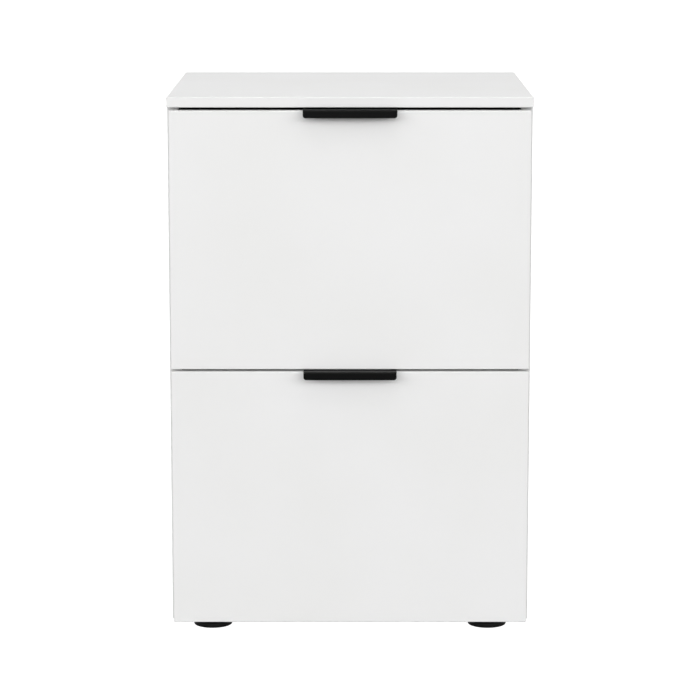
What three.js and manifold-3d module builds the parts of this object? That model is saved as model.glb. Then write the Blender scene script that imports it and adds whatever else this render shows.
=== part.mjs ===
// A two-drawer steel filing cabinet on four levelling feet, in millimetres.
// +Z is up, the drawers face -Y, and the origin is the centre of the footprint on the floor.
// The shell is folded from sheet: a lift-on top cover, two side panels, a back and a base. Each drawer is a
// folded tray behind a hollow front, hung on a pair of three-part ball runners.
import * as THREE from "three";
import { mergeVertices } from "three/addons/utils/BufferGeometryUtils.js";
import Module from "manifold-3d";

const wasm = await Module();
wasm.setup();

// ---------------------------------------------------------------- driving sizes

// Overall
const WIDTH = 460;
const DEPTH = 420; // drawer faces to the back
const BODY_HEIGHT = 678; // underside of the shell to the top
const FOOT_LIFT = 17; // floor to the underside of the shell

// Shell
const SHELL_SHEET = 1;
const TOP_SKIRT = 13.2; // height of the top cover's folded edge
const TOP_HEM = 12;
const SIDE_FLANGE = 14.8; // how far the side panels' edges fold inwards
const SIDE_RETURN = 12; // the front flange's second fold, towards the back
const BUMPER_GAP = 1.3; // closed drawer fronts to the front flanges
const RAIL_SETBACK = 8; // cross rails behind the front flanges, clear of the handles' fixings
const FLOOR_CLEARANCE = 4; // folded-up front edge of the base to the lower drawer's floor
const TOP_RAIL_FOLD = 20; // folded-down front edge of the inner top
const MIDDLE_RAIL_HEIGHT = 30;
const MIDDLE_RAIL_DEPTH = 18;
const BEAD_WIDTH = 22; // stiffening beads in the back panel
const BEAD_DEPTH = 4;
const BEAD_SPACING = 200;
const SEAM = 0.3; // gap left where two pieces meet face to face

// Posts behind the side panels, which carry the runners
const POST_SHEET = 1.5;
const POST_CROWN = 30;
const POST_FOOT = 12;
const POST_FROM_EDGE = 52; // front and back edge of the side panel to a post's middle

// Drawer fronts
const TOP_CLEARANCE = 1.9; // handle's plate to the top cover
const DRAWER_CLEARANCE = 1; // handle's plate to the front above it
const FRONT_REVEAL = 2.5; // how much narrower the fronts are than the shell, each side
const FRONT_SHEET = 1;
const FRONT_SHELL_DEPTH = 14.6;
const FRONT_LIP = 10;
const LINER_SHEET = 1;
const LINER_MARGIN = 6;

// Handles: a strip folded over the front's top edge
const HANDLE_LENGTH = 118;
const HANDLE_SHEET = 1.5;
const HANDLE_REACH = 16; // how far it stands out of the face
const HANDLE_DROP = 10; // height of the grip, top to bottom
const HANDLE_TAIL = 18; // height of the fixing flange behind the front
const HANDLE_BEND = 2; // outer radius of the grip's top edge
const HANDLE_CORNER = 3.5; // radius of the grip's lower corners

// Runners: 45 mm class, three parts with two ball cages
const RUNNER_STEP = 50; // runners come in lengths of this step
const RUNNER_THICK = 12.7;
const RUNNER_SHEET = 1.2;
const RUNNER_HALF = 22.8; // half the outer member's height
const RUNNER_FROM_FRONT = 3; // front flange to the runner's front end
const RUNNER_RISE = 60; // drawer floor to the runner's middle
const RUNNER_BACK_ROOM = 4; // least room behind the runner
const RUNNER_SLACK = 0.4; // between a cage and the members on either side of it
const OUTER_BALL = 2;
const INNER_BALL = 1.6;
const BALL_CLEARANCE = 0.2;
const CAGE_SHEET = 0.6;
const BALLS_PER_ROW = 4;
const RACE_LIP = 1.7;

// Trays
const TRAY_SHEET = 1;
const TRAY_SIDE_GAP = 0.25; // tray to runner
const TRAY_LIFT = 24; // bottom of the front to the drawer floor
const TRAY_HEADROOM = 54; // top of the tray's sides to the top of the front
const TRAY_FLANGE = 12;
const TRAY_HEM = 8;
const TRAY_SHORT = 2; // tray's back edge ahead of the runner's back end
const TRAY_BACK_DROP = 6; // how much lower the back is than the sides
const FILE_RAIL_SHEET = 1.5;
const FILE_RAIL_INSET = 6; // tray's inner face to the outer face of the rail
const FILE_RAIL_RISE = 12;

// Levelling feet
const FOOT_FROM_SIDE = 50.5;
const FOOT_FROM_FACE = 57;
const FOOT_FROM_BACK = 51;
const FOOT_RADIUS = 25;
const FOOT_BEVEL = 1.2;
const FOOT_RIM = 7;
const FOOT_HUB_WALL = 5.7;
const FOOT_HUB_TOP = 11.5;
const FOOT_SOCKET_FLOOR = 3;
const STUD_RADIUS = 4;
const STUD_PLAY = 0.3;
const STUD_HEADROOM = 4.7; // stud's top to the lower drawer's floor
const COLLAR_WALL = 2.5; // stud's surface to the collar's flats
const NUT_WALL = 3.5; // stud's surface to the nut's flats
const NUT_HEIGHT = 7;
const BASE_HOLE_MARGIN = 1; // stud's surface to the edge of the hole in the base

// How the solids are made
const ROUND_SIDES = 32; // flat sides round a foot, a hole or a rounded corner
const ROD_SIDES = 16; // flat sides round a stud or the bore for one
const BALL_SIDES = 8;
const BALL_BANDS = 6;
const BEND_STEPS = 4;
const OVERCUT = 1; // how far a cutting tool reaches past what it cuts
const WELD = 1e-4; // corners closer than this are one corner

// ---------------------------------------------------------------- derived places

const halfWidth = WIDTH / 2;
const faceY = (HANDLE_REACH - DEPTH) / 2;
const backY = faceY + DEPTH;
const linerY = faceY + FRONT_SHELL_DEPTH + SEAM;
const shellY = linerY + LINER_SHEET + BUMPER_GAP; // front edge of the shell
const bottomZ = FOOT_LIFT;
const topZ = bottomZ + BODY_HEIGHT;
const coverZ = topZ - TOP_SKIRT;
const sideTopZ = coverZ - SEAM;
const ceilingZ = sideTopZ - 2 * SHELL_SHEET - SEAM; // underside of the inner top panel

const flangeX = halfWidth - SIDE_FLANGE; // inner edge of the side panels' flanges
const innerX = halfWidth - SHELL_SHEET - SEAM; // just inside the side panels' skins
const backPanelY = backY - SHELL_SHEET - SEAM - SHELL_SHEET; // front face of the back panel
const railY = shellY + RAIL_SETBACK;
const railX = flangeX - SEAM;

const topGap = SEAM + HANDLE_SHEET + TOP_CLEARANCE;
const drawerGap = SEAM + HANDLE_SHEET + DRAWER_CLEARANCE;
const frontHeight = (BODY_HEIGHT - TOP_SKIRT - topGap - drawerGap) / 2;
const frontHalf = halfWidth - FRONT_REVEAL;
const drawers = [
  { name: "lower", z: bottomZ },
  { name: "upper", z: bottomZ + frontHeight + drawerGap },
];

const runnerX = flangeX - SEAM; // the face of the runner that lies on the posts
const runnerY = shellY + RUNNER_FROM_FRONT;
const runnerRoom = backPanelY - BEAD_DEPTH - RUNNER_BACK_ROOM - runnerY;
const runnerLength = Math.floor(runnerRoom / RUNNER_STEP) * RUNNER_STEP;

const trayHalf = runnerX - RUNNER_THICK - TRAY_SIDE_GAP;
const trayFrontY = linerY + LINER_SHEET + SEAM;
const trayBackY = runnerY + runnerLength - TRAY_SHORT;
const trayHeight = frontHeight - TRAY_LIFT - TRAY_HEADROOM;

// ---------------------------------------------------------------- finishes

const finish = (color, roughness, metalness) =>
  new THREE.MeshStandardMaterial({ color, roughness, metalness });
const whitePowderCoat = finish(0xefefef, 0.5, 0);
const blackPowderCoat = finish(0x111111, 0.45, 0);
const blackNylon = finish(0x151515, 0.55, 0);
const zincPlate = finish(0xb9bcc0, 0.35, 1);
const bearingSteel = finish(0xd0d2d4, 0.2, 1);

// ---------------------------------------------------------------- solid helpers

// A closed geometry as a solid that can be joined and cut.
function solidOf(geometry) {
  const bare = geometry.clone();
  bare.deleteAttribute("normal");
  bare.deleteAttribute("uv");
  const merged = mergeVertices(bare, WELD);
  return new wasm.Manifold(
    new wasm.Mesh({
      numProp: 3,
      vertProperties: new Float32Array(merged.attributes.position.array),
      triVerts: new Uint32Array(merged.index.array),
    }),
  );
}

function geometryOf(solid) {
  const mesh = solid.getMesh();
  return new THREE.BufferGeometry()
    .setAttribute("position", new THREE.BufferAttribute(mesh.vertProperties, 3))
    .setIndex(new THREE.BufferAttribute(mesh.triVerts, 1));
}

const join = (geometries) =>
  geometryOf(geometries.map(solidOf).reduce((whole, piece) => whole.add(piece)));

const cut = (geometry, tools) =>
  geometryOf(tools.map(solidOf).reduce((left, tool) => left.subtract(tool), solidOf(geometry)));

// A box between two corners, each given as [x, y, z].
function box(a, b) {
  const size = a.map((value, i) => Math.abs(b[i] - value));
  const middle = a.map((value, i) => (b[i] + value) / 2);
  return new THREE.BoxGeometry(...size).translate(...middle);
}

// A closed outline of [x, y] points, extruded along +Z from z0 to z1.
function extrudeUp(outline, z0, z1) {
  const shape = new THREE.Shape(outline.map(([x, y]) => new THREE.Vector2(x, y)));
  return new THREE.ExtrudeGeometry(shape, { depth: z1 - z0, bevelEnabled: false }).translate(0, 0, z0);
}

// An outline of [x, z] points, extruded along +Y from y0 to y1.
const extrudeBack = (outline, y0, y1) => extrudeUp(outline, 0, y1 - y0).rotateX(Math.PI / 2).translate(0, y1, 0);

// An outline of [y, z] points, extruded along +X, centred on x = 0.
const extrudeAcross = (outline, length) =>
  extrudeUp(outline, -length / 2, length / 2).applyMatrix4(
    new THREE.Matrix4().set(0, 0, 1, 0, 1, 0, 0, 0, 0, 1, 0, 0, 0, 0, 0, 1),
  );

// The outline of a folded strip: the path is one surface of the sheet, whose thickness is on its left.
function folded(path, sheet) {
  const points = path.map(([x, y]) => new THREE.Vector2(x, y));
  const normals = points.slice(1).map((p, i) => {
    const along = p.clone().sub(points[i]).normalize();
    return new THREE.Vector2(-along.y, along.x);
  });
  const offset = points.map((p, i) => {
    const before = normals[Math.max(i - 1, 0)];
    const after = normals[Math.min(i, normals.length - 1)];
    const mitre = before.clone().add(after).normalize();
    return p.clone().addScaledVector(mitre, sheet / mitre.dot(after));
  });
  return [...points, ...offset.reverse()].map((p) => [p.x, p.y]);
}

// A pan: a hollow box with one side open, towards +y or -z, and a rim that turns inwards round the opening.
function pan(low, high, sheet, rim, open) {
  const axis = { "+y": 1, "-z": 2 }[open];
  const inside = { low: low.map((v) => v + sheet), high: high.map((v) => v - sheet) };
  const mouth = { low: low.map((v) => v + rim), high: high.map((v) => v - rim) };
  const outwards = open === "+y" ? "high" : "low";
  const rimPlane = outwards === "high" ? high[axis] : low[axis];
  const direction = outwards === "high" ? 1 : -1;
  mouth.low[axis] = rimPlane - direction * 2 * sheet;
  mouth.high[axis] = rimPlane + direction * sheet;
  return cut(box(low, high), [box(inside.low, inside.high), box(mouth.low, mouth.high)]);
}

const cylinder = (radius, z0, z1, sides = ROUND_SIDES) =>
  new THREE.CylinderGeometry(radius, radius, z1 - z0, sides)
    .rotateX(Math.PI / 2)
    .translate(0, 0, (z0 + z1) / 2);

const hexagon = (flats, z0, z1) => cylinder(flats / Math.sqrt(3), z0, z1, 6);

// ---------------------------------------------------------------- assembly

const cabinet = new THREE.Group();

function add(name, geometry, material) {
  const mesh = new THREE.Mesh(geometry, material);
  mesh.name = name;
  cabinet.add(mesh);
  return mesh;
}

// ---------------------------------------------------------------- shell

// The top cover is a shallow pan turned upside down; its hem rests on the side panels.
function topCover() {
  return pan([-halfWidth, faceY, coverZ], [halfWidth, backY, topZ], SHELL_SHEET, TOP_HEM, "-z");
}

// A side panel: a skin whose four edges fold inwards, with a second fold behind the front flange.
function sidePanel(side) {
  const skin = [
    [side * flangeX, shellY + SIDE_RETURN],
    [side * flangeX, shellY],
    [side * halfWidth, shellY],
    [side * halfWidth, backY],
    [side * flangeX, backY],
  ];
  const wrap = extrudeUp(folded(side > 0 ? skin : skin.reverse(), SHELL_SHEET), bottomZ, sideTopZ);
  const shelf = (z) =>
    box([side * (halfWidth - 0.5 * SHELL_SHEET), shellY, z], [side * flangeX, backY, z + SHELL_SHEET]);
  return join([wrap, shelf(sideTopZ - SHELL_SHEET), shelf(bottomZ + SHELL_SHEET + SEAM)]);
}

// The floor or the inner ceiling: a sheet notched round the side panels' front folds, with a folded front edge.
function crossSheet(z, foldZ) {
  const notchY = shellY + SIDE_RETURN + SEAM;
  const rear = backY - SHELL_SHEET - SEAM;
  const outline = [
    [-railX, railY],
    [railX, railY],
    [railX, notchY],
    [innerX, notchY],
    [innerX, rear],
    [-innerX, rear],
    [-innerX, notchY],
    [-railX, notchY],
  ];
  const fold = box([-railX, railY, z], [railX, railY + SHELL_SHEET, foldZ]);
  return join([extrudeUp(outline, z, z + SHELL_SHEET), fold]);
}

// The back panel: one flat sheet with vertical stiffening beads pressed forwards.
function backPanel() {
  const beads = Math.max(1, Math.floor((WIDTH - BEAD_SPACING / 2) / BEAD_SPACING));
  const path = [[innerX, backPanelY]];
  for (let i = beads - 1; i >= 0; i -= 1) {
    const x = (i - (beads - 1) / 2) * BEAD_SPACING;
    path.push([x + BEAD_WIDTH / 2, backPanelY]);
    path.push([x + BEAD_WIDTH / 4, backPanelY - BEAD_DEPTH]);
    path.push([x - BEAD_WIDTH / 4, backPanelY - BEAD_DEPTH]);
    path.push([x - BEAD_WIDTH / 2, backPanelY]);
  }
  path.push([-innerX, backPanelY]);
  const low = bottomZ + 2 * (SHELL_SHEET + SEAM);
  return extrudeUp(folded(path.reverse(), SHELL_SHEET), low, ceilingZ - SEAM);
}

// The rail between the drawers: a channel that opens to the back, level with the gap between the fronts.
function middleRail() {
  const middle = drawers[1].z - drawerGap / 2;
  const low = middle - MIDDLE_RAIL_HEIGHT / 2;
  const high = middle + MIDDLE_RAIL_HEIGHT / 2;
  const path = [
    [railY + MIDDLE_RAIL_DEPTH, low],
    [railY, low],
    [railY, high],
    [railY + MIDDLE_RAIL_DEPTH, high],
  ];
  return extrudeAcross(folded(path.reverse(), SHELL_SHEET), 2 * railX);
}

// A post: a hat channel whose feet lie on the side panel's skin and whose crown carries the runners.
function post(side, y) {
  const legs = POST_CROWN / 2;
  const path = [
    [side * innerX, y - legs - POST_FOOT],
    [side * innerX, y - legs + POST_SHEET],
    [side * (flangeX + POST_SHEET), y - legs + POST_SHEET],
    [side * (flangeX + POST_SHEET), y + legs - POST_SHEET],
    [side * innerX, y + legs - POST_SHEET],
    [side * innerX, y + legs + POST_FOOT],
  ];
  const low = bottomZ + 2 * (SHELL_SHEET + SEAM) + SEAM;
  const high = sideTopZ - 2 * (SHELL_SHEET + SEAM) - SEAM;
  return extrudeUp(folded(side > 0 ? path : path.reverse(), POST_SHEET), low, high);
}

const feet = [];
for (const [depth, y] of [["front", faceY + FOOT_FROM_FACE], ["rear", backY - FOOT_FROM_BACK]]) {
  for (const [hand, side] of [["left", -1], ["right", 1]]) {
    feet.push({ name: `${depth}_${hand}`, x: side * (halfWidth - FOOT_FROM_SIDE), y });
  }
}

const footHoles = feet.map(({ x, y }) =>
  cylinder(STUD_RADIUS + BASE_HOLE_MARGIN, bottomZ - SHELL_SHEET, bottomZ + 2 * SHELL_SHEET).translate(x, y, 0),
);

add("top_cover", topCover(), whitePowderCoat);
add("base_pan", cut(crossSheet(bottomZ, bottomZ + TRAY_LIFT - FLOOR_CLEARANCE), footHoles), whitePowderCoat);
add("inner_top_panel", crossSheet(ceilingZ, ceilingZ - TOP_RAIL_FOLD), blackPowderCoat);
add("back_panel", backPanel(), whitePowderCoat);
add("middle_rail", middleRail(), blackPowderCoat);
for (const [hand, side] of [["left", -1], ["right", 1]]) {
  add(`${hand}_side_panel`, sidePanel(side), whitePowderCoat);
  add(`${hand}_front_post`, post(side, shellY + POST_FROM_EDGE), zincPlate);
  add(`${hand}_rear_post`, post(side, backY - POST_FROM_EDGE), zincPlate);
}

// ---------------------------------------------------------------- levelling feet

// The foot's base: a round pad with a hub, whose socket holds the stud's end.
function footBase() {
  const socket = STUD_RADIUS + STUD_PLAY;
  const profile = [
    [0, 0],
    [FOOT_RADIUS - FOOT_BEVEL, 0],
    [FOOT_RADIUS, FOOT_BEVEL],
    [FOOT_RADIUS, FOOT_RIM - FOOT_BEVEL],
    [FOOT_RADIUS - FOOT_BEVEL, FOOT_RIM],
    [socket + FOOT_HUB_WALL, FOOT_RIM + FOOT_BEVEL],
    [socket + FOOT_HUB_WALL, FOOT_HUB_TOP],
    [socket, FOOT_HUB_TOP],
    [socket, FOOT_SOCKET_FLOOR],
    [0, FOOT_SOCKET_FLOOR],
  ];
  return new THREE.LatheGeometry(profile.map(([r, z]) => new THREE.Vector2(r, z)), ROUND_SIDES).rotateX(Math.PI / 2);
}

// The stud: a threaded rod with a hexagonal collar, which meets the base when the foot is screwed right in.
function footStud() {
  const foot = FOOT_SOCKET_FLOOR + STUD_PLAY;
  const head = bottomZ + TRAY_LIFT - STUD_HEADROOM;
  const collar = hexagon(2 * (STUD_RADIUS + COLLAR_WALL), FOOT_HUB_TOP + STUD_PLAY, bottomZ - STUD_PLAY);
  return join([cylinder(STUD_RADIUS, foot, head, ROD_SIDES), collar]);
}

// The nut welded on the base over each hole.
function weldNut() {
  const low = bottomZ + SHELL_SHEET + SEAM;
  const bore = cylinder(STUD_RADIUS + STUD_PLAY, low - OVERCUT, low + NUT_HEIGHT + OVERCUT, ROD_SIDES);
  return cut(hexagon(2 * (STUD_RADIUS + NUT_WALL), low, low + NUT_HEIGHT), [bore]);
}

for (const { name, x, y } of feet) {
  add(`${name}_foot_base`, footBase(), blackNylon).position.set(x, y, 0);
  add(`${name}_foot_stud`, footStud(), zincPlate).position.set(x, y, 0);
  add(`${name}_foot_nut`, weldNut(), zincPlate).position.set(x, y, 0);
}

// ---------------------------------------------------------------- drawer fronts and handles

function frontShell(z) {
  const low = [-frontHalf, faceY, z];
  const high = [frontHalf, faceY + FRONT_SHELL_DEPTH, z + frontHeight];
  return pan(low, high, FRONT_SHEET, FRONT_LIP, "+y");
}

function frontLiner(z) {
  const x = frontHalf - LINER_MARGIN;
  return box([-x, linerY, z + LINER_MARGIN], [x, linerY + LINER_SHEET, z + frontHeight - LINER_MARGIN]);
}

// The handle: a grip, a plate over the front's top edge and a fixing flange behind the liner.
function handle(z) {
  const plate = z + frontHeight + SEAM + HANDLE_SHEET;
  const tailY = linerY + LINER_SHEET + SEAM + HANDLE_SHEET;
  const gripY = faceY - HANDLE_REACH;
  const bend = (radius) =>
    Array.from({ length: BEND_STEPS + 1 }, (_, i) => {
      const turn = (i / BEND_STEPS) * (Math.PI / 2);
      const [sin, cos] = [Math.sin(turn), Math.cos(turn)];
      return [gripY + HANDLE_BEND - radius * sin, plate - HANDLE_BEND + radius * cos];
    });
  const outline = [
    [tailY, plate - HANDLE_TAIL],
    [tailY, plate],
    ...bend(HANDLE_BEND),
    [gripY, plate - HANDLE_DROP],
    [gripY + HANDLE_SHEET, plate - HANDLE_DROP],
    ...bend(HANDLE_BEND - HANDLE_SHEET).reverse(),
    [tailY - HANDLE_SHEET, plate - HANDLE_SHEET],
    [tailY - HANDLE_SHEET, plate - HANDLE_TAIL],
  ];
  const corners = [-1, 1].map((end) => gripCorner(end, plate - HANDLE_DROP, gripY));
  return cut(extrudeAcross(outline, HANDLE_LENGTH), corners);
}

// What is cut away to round one lower corner of the grip.
function gripCorner(end, z, y) {
  const x = (end * HANDLE_LENGTH) / 2;
  const depth = [y - HANDLE_SHEET, y + 2 * HANDLE_SHEET];
  const block = box([x - end * HANDLE_CORNER, depth[0], z + HANDLE_CORNER], [x + end * OVERCUT, depth[1], z - OVERCUT]);
  const round = cylinder(HANDLE_CORNER, depth[0] - OVERCUT, depth[1] + OVERCUT)
    .rotateX(-Math.PI / 2)
    .translate(x - end * HANDLE_CORNER, depth[0] + depth[1], z + HANDLE_CORNER);
  return cut(block, [round]);
}

// ---------------------------------------------------------------- runners

// Each outline is given in [depth from the posts, height from the runner's middle].
const toward = (side, outline) => outline.map(([depth, z]) => [side * (runnerX - depth), z]);

const mirrored = (half) => [...half, ...half.map(([d, z]) => [d, -z]).reverse()];

const outerInside = RUNNER_HALF - RUNNER_SHEET;
const outerRow = outerInside - BALL_CLEARANCE - OUTER_BALL; // height of the outer ball rows
const middleHalf = outerRow - OUTER_BALL - BALL_CLEARANCE;
const middleInside = middleHalf - RUNNER_SHEET;
const innerRow = middleInside - BALL_CLEARANCE - INNER_BALL;
const innerHalf = innerRow - INNER_BALL - BALL_CLEARANCE;

const outerCageWeb = RUNNER_SHEET + RUNNER_SLACK;
const middleWeb = outerCageWeb + CAGE_SHEET + RUNNER_SLACK;
const innerCageWeb = middleWeb + RUNNER_SHEET + RUNNER_SLACK;
const innerFlangeEnd = innerCageWeb + CAGE_SHEET + RUNNER_SLACK;

const outerBallDepth = outerCageWeb + CAGE_SHEET + OUTER_BALL + RUNNER_SLACK;
const outerLip = outerBallDepth + OUTER_BALL + 2 * RUNNER_SLACK;
const innerBallDepth = innerFlangeEnd + INNER_BALL + RUNNER_SLACK;
const middleLip = innerBallDepth + INNER_BALL + 2 * RUNNER_SLACK;

// A C channel with a lip on each arm that keeps the balls in.
const race = (web, lip, half) =>
  mirrored([
    [web + RUNNER_SHEET, half - RUNNER_SHEET],
    [lip, half - RUNNER_SHEET],
    [lip, half - RUNNER_SHEET - RACE_LIP],
    [lip + RUNNER_SHEET, half - RUNNER_SHEET - RACE_LIP],
    [lip + RUNNER_SHEET, half],
    [web, half],
  ].reverse());

const innerMember = mirrored([
  [RUNNER_THICK, innerHalf],
  [innerFlangeEnd, innerHalf],
  [innerFlangeEnd, innerHalf - RUNNER_SHEET],
  [RUNNER_THICK - RUNNER_SHEET, innerHalf - RUNNER_SHEET],
]);

// A ball cage: a thin C strip with a row of balls in each arm, half as long as the runner.
function cage(side, z, web, row, ball, ballDepth) {
  const half = row + CAGE_SHEET / 2;
  const end = ballDepth + ball;
  const strip = mirrored([
    [web, half],
    [end, half],
    [end, half - CAGE_SHEET],
    [web + CAGE_SHEET, half - CAGE_SHEET],
  ]);
  const length = runnerLength / 2;
  const start = runnerY + runnerLength / 4;
  const pieces = [extrudeBack(toward(side, strip), start, start + length).translate(0, 0, z)];
  for (let i = 0; i < BALLS_PER_ROW; i += 1) {
    const y = start + ((i + 0.5) / BALLS_PER_ROW) * length;
    for (const height of [row, -row]) {
      const place = [side * (runnerX - ballDepth), y, z + height];
      pieces.push(new THREE.SphereGeometry(ball, BALL_SIDES, BALL_BANDS).translate(...place));
    }
  }
  return join(pieces);
}

function addRunner(drawer, hand, side) {
  const z = drawer.z + TRAY_LIFT + RUNNER_RISE;
  const member = (outline) =>
    extrudeBack(toward(side, outline), runnerY, runnerY + runnerLength).translate(0, 0, z);
  const name = `${drawer.name}_${hand}`;
  add(`${name}_runner_outer`, member(race(0, outerLip, RUNNER_HALF)), zincPlate);
  add(`${name}_runner_middle`, member(race(middleWeb, middleLip, middleHalf)), zincPlate);
  add(`${name}_runner_inner`, member(innerMember), zincPlate);
  const outerCage = cage(side, z, outerCageWeb, outerRow, OUTER_BALL, outerBallDepth);
  const innerCage = cage(side, z, innerCageWeb, innerRow, INNER_BALL, innerBallDepth);
  add(`${name}_outer_ball_cage`, outerCage, bearingSteel);
  add(`${name}_inner_ball_cage`, innerCage, bearingSteel);
}

// ---------------------------------------------------------------- trays

// The tray: floor and sides folded from one sheet, with hemmed top edges and flanges that meet the liner.
function tray(z) {
  const top = z + trayHeight;
  const path = [
    [-trayHalf + TRAY_HEM, top],
    [-trayHalf, top],
    [-trayHalf, z],
    [trayHalf, z],
    [trayHalf, top],
    [trayHalf - TRAY_HEM, top],
  ];
  const wrap = extrudeBack(folded(path, TRAY_SHEET), trayFrontY, trayBackY);
  const flange = (side) =>
    box(
      [side * (trayHalf - 0.5 * TRAY_SHEET), trayFrontY, z + 0.5 * TRAY_SHEET],
      [side * (trayHalf - TRAY_FLANGE), trayFrontY + TRAY_SHEET, top - 0.5 * TRAY_SHEET],
    );
  return join([wrap, flange(-1), flange(1)]);
}

// The tray's back: a sheet whose sides fold forwards against the tray's sides.
function trayBack(z) {
  const x = trayHalf - TRAY_SHEET - SEAM;
  const path = [
    [-x, trayBackY - TRAY_FLANGE],
    [-x, trayBackY],
    [x, trayBackY],
    [x, trayBackY - TRAY_FLANGE],
  ];
  const outline = folded(path.reverse(), TRAY_SHEET);
  return extrudeUp(outline, z + TRAY_SHEET + SEAM, z + trayHeight - TRAY_SHEET - SEAM - TRAY_BACK_DROP);
}

// A file rail: an angle that lies on the tray's hem and stands up for the folders' hooks to ride on.
function fileRail(side, z) {
  const low = z + trayHeight + SEAM;
  const path = [
    [side * trayHalf, low],
    [side * (trayHalf - TRAY_SHEET - FILE_RAIL_INSET), low],
    [side * (trayHalf - TRAY_SHEET - FILE_RAIL_INSET), low + FILE_RAIL_RISE],
  ];
  const outline = folded(side > 0 ? path.reverse() : path, FILE_RAIL_SHEET);
  return extrudeBack(outline, trayFrontY + TRAY_SHEET, trayBackY);
}

for (const drawer of drawers) {
  const trayZ = drawer.z + TRAY_LIFT;
  add(`${drawer.name}_front_shell`, frontShell(drawer.z), whitePowderCoat);
  add(`${drawer.name}_front_liner`, frontLiner(drawer.z), whitePowderCoat);
  add(`${drawer.name}_handle`, handle(drawer.z), blackPowderCoat);
  add(`${drawer.name}_tray`, tray(trayZ), whitePowderCoat);
  add(`${drawer.name}_tray_back`, trayBack(trayZ), whitePowderCoat);
  for (const [hand, side] of [["left", -1], ["right", 1]]) {
    add(`${drawer.name}_${hand}_file_rail`, fileRail(side, trayZ), zincPlate);
    addRunner(drawer, hand, side);
  }
}

export default cabinet;
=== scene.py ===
"""A two-drawer steel filing cabinet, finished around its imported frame.

The shell, fronts and trays are folded from sheet steel and powder coated white. The handles are folded strips
with a black coat, the runners, posts and studs are zinc plated, and the feet are moulded nylon.
Every size is in metres, and every place comes from the frame.
"""

from __future__ import annotations

import logging
import math
from dataclasses import dataclass
from enum import Enum
from typing import Any, Callable, Iterable, Sequence

import bmesh
import bpy
from bmesh.types import BMesh
from bpy.types import Material, Node, NodeSocket, NodeTree, Object
from mathutils import Euler, Matrix, Vector

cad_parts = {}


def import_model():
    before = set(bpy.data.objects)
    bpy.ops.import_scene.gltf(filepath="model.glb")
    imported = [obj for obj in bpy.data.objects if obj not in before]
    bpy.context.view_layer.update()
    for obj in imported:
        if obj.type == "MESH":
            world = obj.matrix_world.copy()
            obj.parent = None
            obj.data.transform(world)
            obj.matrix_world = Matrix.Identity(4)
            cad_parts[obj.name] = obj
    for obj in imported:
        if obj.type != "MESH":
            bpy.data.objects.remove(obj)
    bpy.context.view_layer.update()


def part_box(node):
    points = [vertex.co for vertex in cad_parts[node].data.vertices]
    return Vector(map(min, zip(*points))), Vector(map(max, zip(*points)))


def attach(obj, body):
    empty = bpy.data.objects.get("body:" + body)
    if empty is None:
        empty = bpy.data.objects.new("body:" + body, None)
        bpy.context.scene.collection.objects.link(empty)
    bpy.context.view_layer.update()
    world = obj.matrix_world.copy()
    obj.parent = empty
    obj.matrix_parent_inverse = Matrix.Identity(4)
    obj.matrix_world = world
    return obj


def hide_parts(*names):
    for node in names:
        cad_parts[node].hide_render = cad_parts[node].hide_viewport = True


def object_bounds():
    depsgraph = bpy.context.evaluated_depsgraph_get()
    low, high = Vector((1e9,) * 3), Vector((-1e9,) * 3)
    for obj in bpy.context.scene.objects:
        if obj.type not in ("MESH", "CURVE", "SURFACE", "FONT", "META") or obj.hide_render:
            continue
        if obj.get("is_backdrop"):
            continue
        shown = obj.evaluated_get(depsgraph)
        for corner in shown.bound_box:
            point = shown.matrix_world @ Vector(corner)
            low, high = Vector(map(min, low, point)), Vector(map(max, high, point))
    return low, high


log = logging.getLogger("filing_cabinet")

MM = 0.001

Point = Sequence[float]


class Slot(str, Enum):
    """The record's material slots."""

    WHITE = "white_powder_coat"
    BLACK_COAT = "black_powder_coat"
    ZINC = "zinc_steel"
    BEARING = "bearing_steel"
    NYLON = "black_nylon"


class Hand(Enum):
    """The cabinet's two sides, as seen from the front."""

    LEFT = "left"
    RIGHT = "right"

    @property
    def side(self) -> int:
        """The sign of X on this side."""
        return 1 if self is Hand.RIGHT else -1


class Cage(Enum):
    """A runner's two ball cages: the outer one runs in the fixed member, the inner one in the drawer's."""

    OUTER = "outer"
    INNER = "inner"


DRAWERS = ("lower", "upper")
FEET = tuple(f"{depth}_{hand.value}" for depth in ("front", "rear") for hand in Hand)


# --- nodes and colours


def linear(hex_colour: str) -> tuple[float, float, float, float]:
    """Turns an sRGB hex colour into linear light.

    Args:
        hex_colour: A colour such as "#EDEDEC".

    Returns:
        Red, green, blue and an alpha of 1.
    """
    values = [int(hex_colour[i : i + 2], 16) / 255 for i in (1, 3, 5)]
    curve = [v / 12.92 if v <= 0.04045 else ((v + 0.055) / 1.055) ** 2.4 for v in values]
    return (*curve, 1.0)


def set_inputs(tree: NodeTree, node: Node, inputs: dict[Any, Any]) -> None:
    """Fills or links a node's inputs.

    Args:
        tree: The node tree that it is in.
        node: The node.
        inputs: A value or another node's output for each input, by name or number.
    """
    for name, value in inputs.items():
        if isinstance(value, NodeSocket):
            tree.links.new(value, node.inputs[name])
        else:
            node.inputs[name].default_value = value


def add_node(tree: NodeTree, kind: str, inputs: dict[Any, Any] | None = None, **settings: Any) -> Node:
    """Adds a node with its settings and inputs.

    Args:
        tree: The node tree that it goes in.
        kind: The node's type name.
        inputs: What `set_inputs` takes.
        **settings: The node's own properties.

    Returns:
        The new node.
    """
    node = tree.nodes.new(kind)
    for name, value in settings.items():
        setattr(node, name, value)
    set_inputs(tree, node, inputs or {})
    return node


def per_metre(size_mm: float) -> float:
    """The texture scale at which one cell of a pattern is this many millimetres."""
    return 1 / (size_mm * MM)


# --- finishes

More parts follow.
